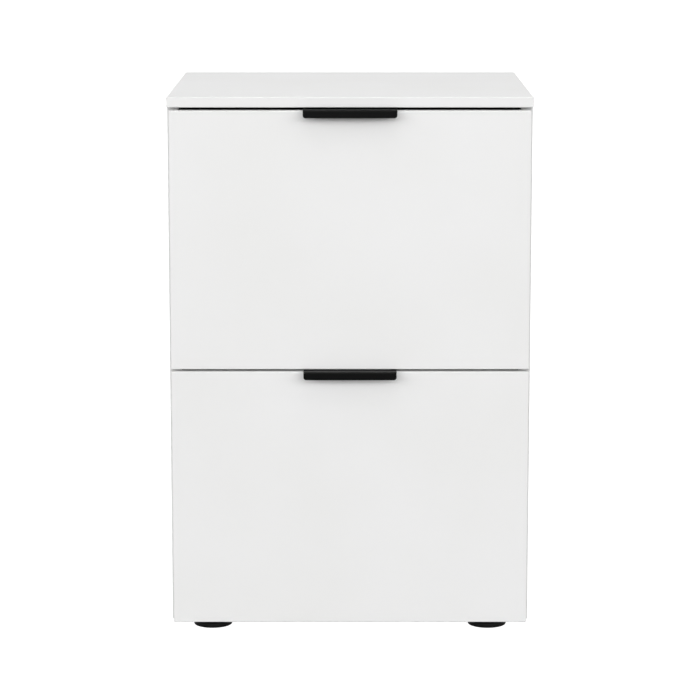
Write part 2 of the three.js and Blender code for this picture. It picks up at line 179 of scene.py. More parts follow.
NOISE = "ShaderNodeTexNoise"
RANGE = "ShaderNodeMapRange"
BUMP = "ShaderNodeBump"
MIX = "ShaderNodeMix"  # for colours: inputs 0, 6 and 7 are the share and the two colours, output 2 is the mix
MIDDLE = {"From Min": 0.25, "From Max": 0.75}  # nearly all of a noise pattern's values lie between these
EDGE_FADE = {"From Min": 0.98, "From Max": 0.85}  # cosines of the turn where a bend starts and fully shows


@dataclass(frozen=True)
class Finish:
    """What every finish has. A subclass adds the marks of its own surface in `dress`.

    Attributes:
        name: The material's name.
        colour: Its main colour.
        roughness: Its middle roughness.
        metallic: 1 for bare metal.
        specular: How strong the reflection of a coat or a plastic is.
        gloss_change: How far its pattern moves the roughness down and up.
    """

    name: str
    colour: str
    roughness: float
    metallic: float = 0.0
    specular: float = 0.5
    gloss_change: tuple[float, float] = (0.0, 0.0)

    @property
    def gloss(self) -> dict[str, float]:
        """The range of the roughness, as the inputs of the node that spreads a pattern over it."""
        low, high = self.gloss_change
        return {"To Min": self.roughness + low, "To Max": self.roughness + high}

    def material(self) -> Material:
        """Makes the finish's material the first time, and finds it again after that.

        Returns:
            The material, which all pieces with this finish share.
        """
        known = bpy.data.materials.get(self.name)
        if known:
            return known
        material = bpy.data.materials.new(self.name)
        material.use_nodes = True
        tree = material.node_tree
        place = add_node(tree, "ShaderNodeTexCoord").outputs["Object"]
        looks = {"Metallic": self.metallic, "Specular IOR Level": self.specular, **self.dress(tree, place)}
        set_inputs(tree, tree.nodes["Principled BSDF"], looks)
        return material

    def dress(self, tree: NodeTree, place: NodeSocket) -> dict[str, Any]:
        """Makes the finish's pattern.

        Args:
            tree: The material's node tree.
            place: The coordinates, in metres.

        Returns:
            The inputs of the material's Principled shader.
        """
        raise NotImplementedError

    def edges(self, tree: NodeTree, radius_mm: float) -> NodeSocket:
        """Finds the bends and cut edges, where wear and a thin coat show.

        Args:
            tree: The material's node tree.
            radius_mm: How far from an edge the mask reaches.

        Returns:
            A mask that is 1 on a sharp bend or cut edge and 0 on a flat.
        """
        rounded = add_node(tree, "ShaderNodeBevel", {"Radius": radius_mm * MM}, samples=4).outputs["Normal"]
        plain = add_node(tree, "ShaderNodeNewGeometry").outputs["Normal"]
        facing = add_node(tree, "ShaderNodeVectorMath", {0: rounded, 1: plain}, operation="DOT_PRODUCT")
        return add_node(tree, RANGE, {"Value": facing.outputs["Value"], **EDGE_FADE}).outputs["Result"]


@dataclass(frozen=True)
class PowderCoat(Finish):
    """Polyester powder, sprayed dry on folded steel and baked, so it flows into a soft orange peel.

    The eye gets an even, slightly uneven gloss: broad shallow ripples, a fine grain in them, and a
    thinner, glossier and slightly greyer skin where the powder pulls back from the bends and cut edges.
    """

    gloss_change: tuple[float, float] = (-0.03, 0.04)
    thin_colour: str = "#DEDEDC"
    thin_gloss: float = -0.12  # what the thin coat adds to the roughness
    peel_mm: float = 3.0  # the ripples' spacing
    peel_depth_mm: float = 0.012
    grain_mm: float = 0.7  # the real grain is about 0.2 mm, drawn coarser so that it shows
    grain_depth_mm: float = 0.004
    drift_mm: float = 160.0  # slow changes in the coat's thickness
    drift_colour: str = "#ECECEA"
    edge_mm: float = 1.2

    def dress(self, tree: NodeTree, place: NodeSocket) -> dict[str, Any]:
        """Adds the orange peel, the grain, the slow drift and the thin coat at the edges.

        Args:
            tree: The material's node tree.
            place: The coordinates, in metres.

        Returns:
            The shader's inputs.
        """
        drift = add_node(tree, NOISE, {"Vector": place, "Scale": per_metre(self.drift_mm)}).outputs["Fac"]
        share = add_node(tree, RANGE, {"Value": drift, **MIDDLE}).outputs["Result"]
        patches = {0: share, 6: linear(self.drift_colour), 7: linear(self.colour)}
        body = add_node(tree, MIX, patches, data_type="RGBA").outputs[2]
        edge = self.edges(tree, self.edge_mm)
        coat = add_node(tree, MIX, {0: edge, 6: body, 7: linear(self.thin_colour)}, data_type="RGBA")

        fine = {"Vector": place, "Scale": per_metre(self.grain_mm), "Detail": 3.0}
        grain = add_node(tree, NOISE, fine).outputs["Fac"]
        matte = add_node(tree, RANGE, {"Value": grain, **MIDDLE, **self.gloss}).outputs["Result"]
        thinned = {0: edge, 1: self.thin_gloss, 2: matte}
        shine = add_node(tree, "ShaderNodeMath", thinned, operation="MULTIPLY_ADD")

        broad = {"Vector": place, "Scale": per_metre(self.peel_mm), "Detail": 1.0}
        peel = add_node(tree, NOISE, broad).outputs["Fac"]
        ripples = add_node(tree, BUMP, {"Height": peel, "Distance": self.peel_depth_mm * MM})
        grained = {"Height": grain, "Distance": self.grain_depth_mm * MM, "Normal": ripples.outputs["Normal"]}
        relief = add_node(tree, BUMP, grained).outputs["Normal"]
        return {"Base Color": coat.outputs[2], "Roughness": shine.outputs[0], "Normal": relief}


@dataclass(frozen=True)
class ZincPlate(Finish):
    """Cold-rolled steel, drawn or folded and then zinc plated with a clear passivate.

    The eye gets a bright grey metal with long faint rolling lines along the strip, and cloudy patches
    where the passivate is a little bluer or yellower.
    """

    gloss_change: tuple[float, float] = (-0.07, 0.09)
    cool_colour: str = "#B9BEC6"
    warm_colour: str = "#C9C7BE"
    line_mm: float = 0.5  # spacing of the rolling lines
    line_length_mm: float = 60.0
    line_depth_mm: float = 0.003
    line_share: float = 0.35  # how much of the colour is the lines'
    line_low_colour: str = "#8F9398"
    line_high_colour: str = "#E2E3E4"
    cloud_mm: float = 25.0
    along_z: bool = False

    def dress(self, tree: NodeTree, place: NodeSocket) -> dict[str, Any]:
        """Adds the rolling lines and the passivate's clouds.

        Args:
            tree: The material's node tree.
            place: The coordinates, in metres.

        Returns:
            The shader's inputs.
        """
        across, along = per_metre(self.line_mm), per_metre(self.line_length_mm)
        scale = (across, across, along) if self.along_z else (across, along, across)
        drawn_out = add_node(tree, "ShaderNodeMapping", {"Vector": place, "Scale": scale}).outputs["Vector"]
        lines = add_node(tree, NOISE, {"Vector": drawn_out, "Scale": 1.0}).outputs["Fac"]
        streaks = {0: lines, 6: linear(self.line_low_colour), 7: linear(self.line_high_colour)}
        rolled = add_node(tree, MIX, streaks, data_type="RGBA").outputs[2]

        soft = {"Vector": place, "Scale": per_metre(self.cloud_mm), "Detail": 3.0}
        clouds = add_node(tree, NOISE, soft).outputs["Fac"]
        share = add_node(tree, RANGE, {"Value": clouds, **MIDDLE}).outputs["Result"]
        passivate = {0: share, 6: linear(self.cool_colour), 7: linear(self.warm_colour)}
        tint = add_node(tree, MIX, passivate, data_type="RGBA").outputs[2]
        metal = add_node(tree, MIX, {0: self.line_share, 6: tint, 7: rolled}, data_type="RGBA").outputs[2]

        gloss = add_node(tree, RANGE, {"Value": lines, **MIDDLE, **self.gloss}).outputs["Result"]
        relief = add_node(tree, BUMP, {"Height": lines, "Distance": self.line_depth_mm * MM})
        return {"Base Color": metal, "Roughness": gloss, "Normal": relief.outputs["Normal"]}


@dataclass(frozen=True)
class GalvanisedSheet(Finish):
    """Hot-dip galvanised strip, whose zinc froze in flat crystals.

    The eye gets a patchwork of spangles, each with its own grey and its own gloss.
    """

    gloss_change: tuple[float, float] = (-0.08, 0.1)
    spangle_mm: float = 7.0
    dark_colour: str = "#9DA1A5"
    grain_mm: float = 0.8
    grain_depth_mm: float = 0.004

    def dress(self, tree: NodeTree, place: NodeSocket) -> dict[str, Any]:
        """Adds the spangles and a fine roughness over them.

        Args:
            tree: The material's node tree.
            place: The coordinates, in metres.

        Returns:
            The shader's inputs.
        """
        crystals = {"Vector": place, "Scale": per_metre(self.spangle_mm)}
        cells = add_node(tree, "ShaderNodeTexVoronoi", crystals).outputs["Color"]
        value = add_node(tree, "ShaderNodeSeparateColor", {0: cells}).outputs[0]
        greys = {0: value, 6: linear(self.dark_colour), 7: linear(self.colour)}
        zinc = add_node(tree, MIX, greys, data_type="RGBA").outputs[2]
        gloss = add_node(tree, RANGE, {"Value": value, **MIDDLE, **self.gloss}).outputs["Result"]
        fine = {"Vector": place, "Scale": per_metre(self.grain_mm), "Detail": 3.0}
        grain = add_node(tree, NOISE, fine).outputs["Fac"]
        relief = add_node(tree, BUMP, {"Height": grain, "Distance": self.grain_depth_mm * MM})
        return {"Base Color": zinc, "Roughness": gloss, "Normal": relief.outputs["Normal"]}


@dataclass(frozen=True)
class BallSteel(Finish):
    """Hardened and lapped bearing steel with a film of grease.

    The eye gets a near mirror, dulled in smears where the grease lies thicker and a little yellow.
    """

    gloss_change: tuple[float, float] = (0.0, 0.18)
    grease_colour: str = "#B5AE97"
    grease_share: float = 0.7  # how yellow the thickest smear is
    smear_mm: float = 2.5

    def dress(self, tree: NodeTree, place: NodeSocket) -> dict[str, Any]:
        """Adds the grease's smears.

        Args:
            tree: The material's node tree.
            place: The coordinates, in metres.

        Returns:
            The shader's inputs.
        """
        soft = {"Vector": place, "Scale": per_metre(self.smear_mm), "Detail": 3.0}
        smears = add_node(tree, NOISE, soft).outputs["Fac"]
        thickness = add_node(tree, RANGE, {"Value": smears, **MIDDLE, "To Max": self.grease_share})
        film = {0: thickness.outputs["Result"], 6: linear(self.colour), 7: linear(self.grease_colour)}
        greased = add_node(tree, MIX, film, data_type="RGBA")
        gloss = add_node(tree, RANGE, {"Value": smears, **MIDDLE, **self.gloss})
        return {"Base Color": greased.outputs[2], "Roughness": gloss.outputs["Result"]}


@dataclass(frozen=True)
class MouldedNylon(Finish):
    """Glass-filled nylon, moulded in a spark-eroded tool.

    The eye gets a dark grey-black with a pebbled satin grain and slightly shinier worn rims.
    """

    gloss_change: tuple[float, float] = (-0.06, 0.08)
    worn_colour: str = "#2A2A2A"
    worn_mm: float = 1.5
    pebble_mm: float = 0.9  # the real grain is about 0.3 mm, drawn coarser so that it shows
    pebble_depth_mm: float = 0.03

    def dress(self, tree: NodeTree, place: NodeSocket) -> dict[str, Any]:
        """Adds the pebbled grain and the worn rims.

        Args:
            tree: The material's node tree.
            place: The coordinates, in metres.

        Returns:
            The shader's inputs.
        """
        edge = self.edges(tree, self.worn_mm)
        wear = {0: edge, 6: linear(self.colour), 7: linear(self.worn_colour)}
        moulding = add_node(tree, MIX, wear, data_type="RGBA").outputs[2]
        pebbles = add_node(tree, NOISE, {"Vector": place, "Scale": per_metre(self.pebble_mm)}).outputs["Fac"]
        gloss = add_node(tree, RANGE, {"Value": pebbles, **MIDDLE, **self.gloss}).outputs["Result"]
        relief = add_node(tree, BUMP, {"Height": pebbles, "Distance": self.pebble_depth_mm * MM})
        return {"Base Color": moulding, "Roughness": gloss, "Normal": relief.outputs["Normal"]}


@dataclass(frozen=True)
class LightTable(Finish):
    """A sheet of matt opal acrylic, lit from below.

    The eye gets one even white, in which the sheet itself doesn't show.
    """

    shade_colour: str = "#A8A8A8"
    cloud_mm: float = 40.0
    glow: float = 1.0

    def dress(self, tree: NodeTree, place: NodeSocket) -> dict[str, Any]:
        """Adds the sheet's faint cloudiness and its own light.

        Args:
            tree: The material's node tree.
            place: The coordinates, in metres.

        Returns:
            The shader's inputs.
        """
        soft = {"Vector": place, "Scale": per_metre(self.cloud_mm), "Detail": 3.0}
        cloud = add_node(tree, NOISE, soft).outputs["Fac"]
        opal = {0: cloud, 6: linear(self.shade_colour), 7: linear(self.colour)}
        sheet = add_node(tree, MIX, opal, data_type="RGBA").outputs[2]
        light = {"Emission Color": linear("#FFFFFF"), "Emission Strength": self.glow}
        return {"Base Color": sheet, "Roughness": self.roughness, **light}


WHITE_COAT = PowderCoat(
    "white_polyester_powder_coat",
    "#E2E2E2",
    0.46,
    specular=0.3,
    thin_colour="#D4D4D3",
    drift_colour="#DFDFDE",
)
BLACK_COAT = PowderCoat(
    "black_satin_powder_coat",
    "#050505",
    0.42,
    specular=0.09,
    thin_colour="#121212",
    drift_colour="#070707",
    peel_mm=1.5,
)
ZINC_STRIP = ZincPlate("zinc_plated_strip", "#C3C5C8", 0.32, 1.0)
ZINC_ROD = ZincPlate("zinc_plated_rod", "#C3C5C8", 0.3, 1.0, line_mm=1.5, line_length_mm=8.0, along_z=True)
GALVANISED = GalvanisedSheet("galvanised_sheet_steel", "#C9CCCF", 0.4, 1.0)
BALL_STEEL = BallSteel("greased_bearing_steel", "#D6D8DA", 0.12, 1.0)
NYLON = MouldedNylon("black_moulded_nylon", "#090909", 0.5, specular=0.18, worn_colour="#1A1A1A")
RUBBER = MouldedNylon("soft_black_rubber", "#1B1B1A", 0.75, pebble_mm=0.6, pebble_depth_mm=0.01)
OPAL = LightTable("opal_acrylic_light_table", "#ACACAC", 0.9, specular=0.0)


# --- making pieces

WELD_MM = 0.05  # corners this close are one
BEND_ANGLE = 20.0  # degrees: flats that turn more than this from each other meet in a bend
SHEET_CUT_ANGLE = 60.0  # degrees: on a folded sheet, only a cut edge is sharper than this
SOLID_CUT_ANGLE = 35.0  # degrees: on a solid piece, a facet's edge stays below this


def finish_piece(
    piece: Object, body: str, slot: Slot | None, finish: Finish, *nodes: str
) -> Object:
    """Gives a new piece all that makes it part of the cabinet.

    Args:
        piece: The piece.
        body: The CAD body that it rides on.
        slot: The record's material slot, if it has one. It is not used.
        finish: Its finish.
        *nodes: The CAD nodes that it stands for.

    Returns:
        The same piece.
    """
    piece.data.materials.append(finish.material())
    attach(piece, body)
    if nodes:
        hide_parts(*nodes)
    log.info("%s on %s: %d faces before modifiers", piece.name, body, len(piece.data.polygons))
    return piece


def object_from(name: str, mesh: BMesh, smooth: bool = True) -> Object:
    """Turns a bmesh into an object in the scene and frees it.

    Args:
        name: The object's name.
        mesh: The bmesh.
        smooth: Whether its faces are shaded smooth.

    Returns:
        The object.
    """
    data = bpy.data.meshes.new(name)
    for face in mesh.faces:
        face.smooth = smooth
    mesh.to_mesh(data)
    mesh.free()
    piece = bpy.data.objects.new(name, data)
    bpy.context.scene.collection.objects.link(piece)
    return piece


def soften(piece: Object, width_mm: float, angle: float, segments: int = 2) -> None:
    """Rounds every edge that is sharper than an angle, and evens the shading of the flats.

    Args:
        piece: The piece.
        width_mm: How wide the rounding is.
        angle: The angle, in degrees.
        segments: How many steps the rounding has.
    """
    bevel = piece.modifiers.new("cut_edges", "BEVEL")
    bevel.limit_method = "ANGLE"
    bevel.angle_limit = math.radians(angle)
    bevel.width = width_mm * MM
    bevel.segments = segments
    shading = piece.modifiers.new("flats", "WEIGHTED_NORMAL")
    shading.keep_sharp = True


@dataclass
class FoldedSheet:
    """A piece folded from sheet: flat faces that share edges, whose bends are rounded.

    Attributes:
        name: The piece's name.
        faces: Each flat's corners, on the sheet's outer side. The first decides which side is out.
        outward: The outer side's direction on the first face.
        sheet_mm: The sheet's thickness.
        bend_mm: The bends' outer radius.
        bend_segments: How many steps a bend has.
        cut_share: How far the cut edges are broken, as a share of the thickness.
    """

    name: str
    faces: list[list[Point]]
    outward: Point
    sheet_mm: float = 1.0
    bend_mm: float = 1.5
    bend_segments: int = 5
    cut_share: float = 0.15

    def build(self) -> Object:
        """Joins the flats, rounds the bends and gives the sheet its thickness.

        Returns:
            The piece, whose cut edges are broken.
        """
        mesh = bmesh.new()
        for corners in self.faces:
            mesh.faces.new([mesh.verts.new(corner) for corner in corners])
        bmesh.ops.remove_doubles(mesh, verts=mesh.verts, dist=WELD_MM * MM)
        bmesh.ops.recalc_face_normals(mesh, faces=mesh.faces)
        mesh.faces.ensure_lookup_table()
        if mesh.faces[0].normal.dot(Vector(self.outward)) < 0:
            bmesh.ops.reverse_faces(mesh, faces=mesh.faces)
        turn = math.radians(BEND_ANGLE)
        bends = [e for e in mesh.edges if len(e.link_faces) == 2 and e.calc_face_angle() > turn]
        bmesh.ops.bevel(
            mesh,
            geom=bends,
            offset=self.bend_mm * MM,
            segments=self.bend_segments,
            profile=0.5,
            affect="EDGES",
            clamp_overlap=True,
        )
        piece = object_from(self.name, mesh)
        wall = piece.modifiers.new("sheet", "SOLIDIFY")
        wall.thickness = self.sheet_mm * MM
        wall.offset = -1
        wall.use_even_offset = True
        soften(piece, self.cut_share * self.sheet_mm, SHEET_CUT_ANGLE)
        return piece


def ring(axis: int, level: float, low: Point, high: Point) -> list[Vector]:
    """Finds the corners of a rectangle that lies square to an axis.

    Args:
        axis: The axis, as 0, 1 or 2.
        level: Where on the axis the rectangle lies.
        low: Its lowest corner. The axis's own coordinate isn't used.
        high: Its highest corner, in the same way.

    Returns:
        The four corners, in order round it.
    """
    first, second = [i for i in range(3) if i != axis]
    corners = []
    for a, b in ((low, low), (high, low), (high, high), (low, high)):
        corner = Vector((0, 0, 0))
        corner[axis] = level
        corner[first], corner[second] = a[first], b[second]
        corners.append(corner)
    return corners


def pan_faces(rings: Sequence[Sequence[Point]]) -> list[list[Point]]:
    """Finds the faces of a pan.

    Args:
        rings: Its rings of four corners, from the open end to the closed one.

    Returns:
        The closed end, then the walls between the rings.
    """
    faces = [list(rings[-1])]
    for one, two in zip(rings, rings[1:]):
        for i in range(4):
            j = (i + 1) % 4
            faces.append([one[i], one[j], two[j], two[i]])
    return faces


def strip_faces(path: Sequence[Point], offset: Point) -> list[list[Point]]:
    """Finds the flats of a folded strip.

    Args:
        path: The folds' points, seen on the strip's end.
        offset: From there to the strip's other end.

    Returns:
        One face for each stretch of the path.
    """
    step = Vector(offset)
    points = [Vector(p) for p in path]
    return [[a, b, b + step, a + step] for a, b in zip(points, points[1:])]


def turned(
    name: str,
    profile: Sequence[tuple[float, float]],
    place: Matrix,
    segments: int = 48,
    lobes: Callable[[int, float], float] | None = None,
) -> Object:
    """A solid turned about its own +Z axis.

    Args:
        name: The piece's name.
        profile: Its outline from the lower end to the upper, as (radius, height), starting and ending at 0.
        place: Where it goes.
        segments: How many steps there are in a turn.
        lobes: For each ring and angle, what the radius is multiplied by.

    Returns:
        The solid, smooth shaded.
    """
    mesh = bmesh.new()
    rings = []
    for i, (radius, height) in enumerate(profile):
        if radius == 0:
            rings.append([mesh.verts.new(place @ Vector((0, 0, height)))])
            continue
        angles = [math.tau * k / segments for k in range(segments)]
        shape = [radius * (lobes(i, a) if lobes else 1.0) for a in angles]
        points = [Vector((r * math.cos(a), r * math.sin(a), height)) for r, a in zip(shape, angles)]
        rings.append([mesh.verts.new(place @ p) for p in points])
    for one, two in zip(rings, rings[1:]):
        for k in range(segments):
            n = (k + 1) % segments
            corners = [one[k % len(one)], one[n % len(one)], two[n % len(two)], two[k % len(two)]]
            mesh.faces.new(list(dict.fromkeys(corners)))
    bmesh.ops.recalc_face_normals(mesh, faces=mesh.faces)
    return object_from(name, mesh)


def fillet(r: float, z: float, radius: float, start: float, steps: int = 4) -> list[tuple[float, float]]:
    """Rounds a corner of an outline with a quarter of a circle, anticlockwise.

    Args:
        r: The first coordinate of its centre.
        z: The second.
        radius: Its radius.
        start: The angle at which it starts, in degrees.
        steps: How many steps it has.

    Returns:
        The points on it, both ends included.
    """
    turns = [math.radians(start + 90 * i / steps) for i in range(steps + 1)]
    return [(r + radius * math.cos(t), z + radius * math.sin(t)) for t in turns]


def towards(point: Point, direction: Point) -> Matrix:
    """Finds the place of a piece that stands on a point.

    Args:
        point: The point.
        direction: Where the piece's +Z axis points.

    Returns:
        The place.
    """
    turn = Vector(direction).to_track_quat("Z", "Y").to_matrix().to_4x4()
    return Matrix.Translation(point) @ turn


def joined(name: str, pieces: Iterable[Object]) -> Object:
    """Joins several objects, which go, into one.

    Args:
        name: The new object's name.
        pieces: The objects, without modifiers.

    Returns:
        The new object.
    """
    mesh = bmesh.new()
    for piece in pieces:
        mesh.from_mesh(piece.data)
        bpy.data.objects.remove(piece)
    return object_from(name, mesh)


# --- fasteners


@dataclass
class Fastener:
    """A rivet or a screw head, sizes in millimetres.

    A plain rivet shows the end of its pulled pin, sunk in the middle. A screw has a six-lobed socket.
    """

    radius: float = 3.2
    height: float = 1.0
    socket: float = 0.0  # radius of the socket, or 0 for a plain rivet
    lobe: float = 0.14  # how far the socket's lobes stand out, as a share of its radius
    socket_floor: float = 0.35  # this and the next are shares of the head's height
    socket_chamfer: float = 0.1
    land: tuple[float, float] = (1.15, 1.3)  # the flat round the socket, as shares of the socket's radius
    pin: tuple[float, float] = (0.3, 0.35)  # the pin's hole and its mouth, as shares of the head's radius
    pin_depth: tuple[float, float] = (0.8, 0.96)  # and how high they are, as shares of the head's height
    dome_steps: int = 6
    segments: int = 36

    def head(self, name: str, point: Point, direction: Point) -> Object:
        """Builds one head that stands on a surface.

        Args:
            name: Its name.
            point: The point on the surface.
            direction: Away from the surface.

        Returns:
            The head.
        """
        r, h, s = self.radius * MM, self.height * MM, self.socket * MM
        angles = [math.pi / 2 * i / self.dome_steps for i in range(self.dome_steps)]
        dome = [(r * math.cos(a), h * math.sin(a)) for a in angles]
        if s:
            dome = [p for p in dome if p[0] > self.land[1] * s]
            top, floor = dome[-1][1], self.socket_floor * h
            well = [(self.land[0] * s, top), (s, top - self.socket_chamfer * h), (s, floor), (0, floor)]
        else:
            (hole, mouth), (floor, lip) = self.pin, self.pin_depth
            well = [(mouth * r, lip * h), (hole * r, floor * h), (0, floor * h)]
        profile = [(0, 0), *dome, *well]

        def lobed(row: int, angle: float) -> float:
            """Gives the socket's wall its six lobes and leaves the rest round."""
            in_socket = bool(s) and row >= len(profile) - 3
            return 1 + self.lobe * math.cos(6 * angle) if in_socket else 1.0

        return turned(name, profile, towards(point, direction), self.segments, lobed)

    def group(self, name: str, points: Iterable[Point], direction: Point) -> Object:
        """Builds several alike heads as one piece."""
        return joined(name, [self.head(f"{name}_{i}", p, direction) for i, p in enumerate(points)])


POP_RIVET = Fastener(3.2, 0.9)
SMALL_RIVET = Fastener(2.4, 0.7)
PAN_SCREW = Fastener(3.6, 2.0, socket=1.3)


def spaced(low: float, high: float, count: int) -> list[float]:
    """Evenly spaced values, the two ends included."""
    return [low + (high - low) * i / (count - 1) for i in range(count)]


# --- the shell


@dataclass
class Shell:
    """The white shell and the galvanised posts inside it, sizes in millimetres."""

    sheet: float = 1.0
    bend: float = 1.2
    cover_hem: float = 12.0
    front_return: float = 12.0
    rivets_per_side: int = 5
    rivets_across: int = 4  # even, so that none lands on the back panel's middle bead
    rivet_inset: float = 22.0
    rivets_narrower: float = 1.6  # the side rows are this many times further out than the cross rows reach
    cut_edge: float = 0.3
    body: str = "cabinet"

    def build(self) -> None:
        """Builds the shell's panels, posts and rivets."""
        self.cover()
        for hand in Hand:
            self.side_panel(hand)
            for depth in ("front", "rear"):
                dress_node(f"{hand.value}_{depth}_post", GALVANISED, self.cut_edge)
        for name in ("base_pan", "back_panel"):
            dress_node(name, WHITE_COAT, self.cut_edge)
        # painted shade: the inner top panel and the middle rail take the black coat so that the gaps above
        # and between the drawer fronts read as deep shade
        for name in ("inner_top_panel", "middle_rail"):
            dress_node(name, BLACK_COAT, self.cut_edge)
        self.back_rivets()

    def cover(self) -> None:
        """Builds the top cover: an upturned pan whose hem lies on the sides."""
        low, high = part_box("top_cover")
        hem = Vector((self.cover_hem * MM,) * 3)
        rings = [ring(2, low.z, low + hem, high - hem)]
        rings += [ring(2, z, low, high) for z in (low.z, high.z)]
        sheet = FoldedSheet("top_cover_sheet", pan_faces(rings), (0, 0, 1), self.sheet, self.bend)
        finish_piece(sheet.build(), self.body, Slot.WHITE, WHITE_COAT, "top_cover")

    def side_panel(self, hand: Hand) -> None:
        """Builds one side: a skin with a folded edge in front, behind and on top.

        Args:
            hand: Which side it is.
        """
        name = f"{hand.value}_side"
        low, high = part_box(f"{name}_panel")
        outer, inner = (high.x, low.x) if hand is Hand.RIGHT else (low.x, high.x)
        front, back = low.y, high.y
        path = [(outer, front), (outer, back), (inner, back)]
        lead = [(inner, front + self.front_return * MM), (inner, front), (outer, front)]
        rise = (0, 0, high.z - low.z)
        skin = strip_faces([(x, y, low.z) for x, y in path], rise)
        fold = strip_faces([(x, y, low.z) for x, y in lead], rise)
        shelf = ring(2, high.z, (inner, front, 0), (outer, back, 0))
        faces = [*skin, *fold, shelf]
        sheet = FoldedSheet(f"{name}_sheet", faces, (hand.side, 0, 0), self.sheet, self.bend)
        finish_piece(sheet.build(), self.body, Slot.WHITE, WHITE_COAT, f"{name}_panel")

    def back_rivets(self) -> None:
        """Adds the blind rivets round the back panel."""
        low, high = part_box("back_panel")
        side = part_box("right_side_panel")
        inset = self.rivet_inset * MM
        edge_x = side[0].x - 0.5 * inset
        heights = spaced(low.z + inset, high.z - inset, self.rivets_per_side)
        points = [(x, high.y, z) for x in (-edge_x, edge_x) for z in heights]
        reach = edge_x / self.rivets_narrower
        for z in (heights[0], heights[-1]):
            points += [(x, high.y, z) for x in spaced(-reach, reach, self.rivets_across)]
        finish_piece(POP_RIVET.group("back_rivets", points, (0, 1, 0)), self.body, Slot.ZINC, ZINC_ROD)


def dress_node(name: str, finish: Finish, soften_mm: float) -> None:
    """Gives a CAD node its finish and breaks its sharp edges.

    Args:
        name: The node's name.
        finish: Its finish.
        soften_mm: How far its edges are broken.
    """
    piece = bpy.data.objects[name]
    piece.data.materials.clear()
    piece.data.materials.append(finish.material())
    soften(piece, soften_mm, SOLID_CUT_ANGLE)
    log.info("%s: %s", name, finish.name)


# --- drawers


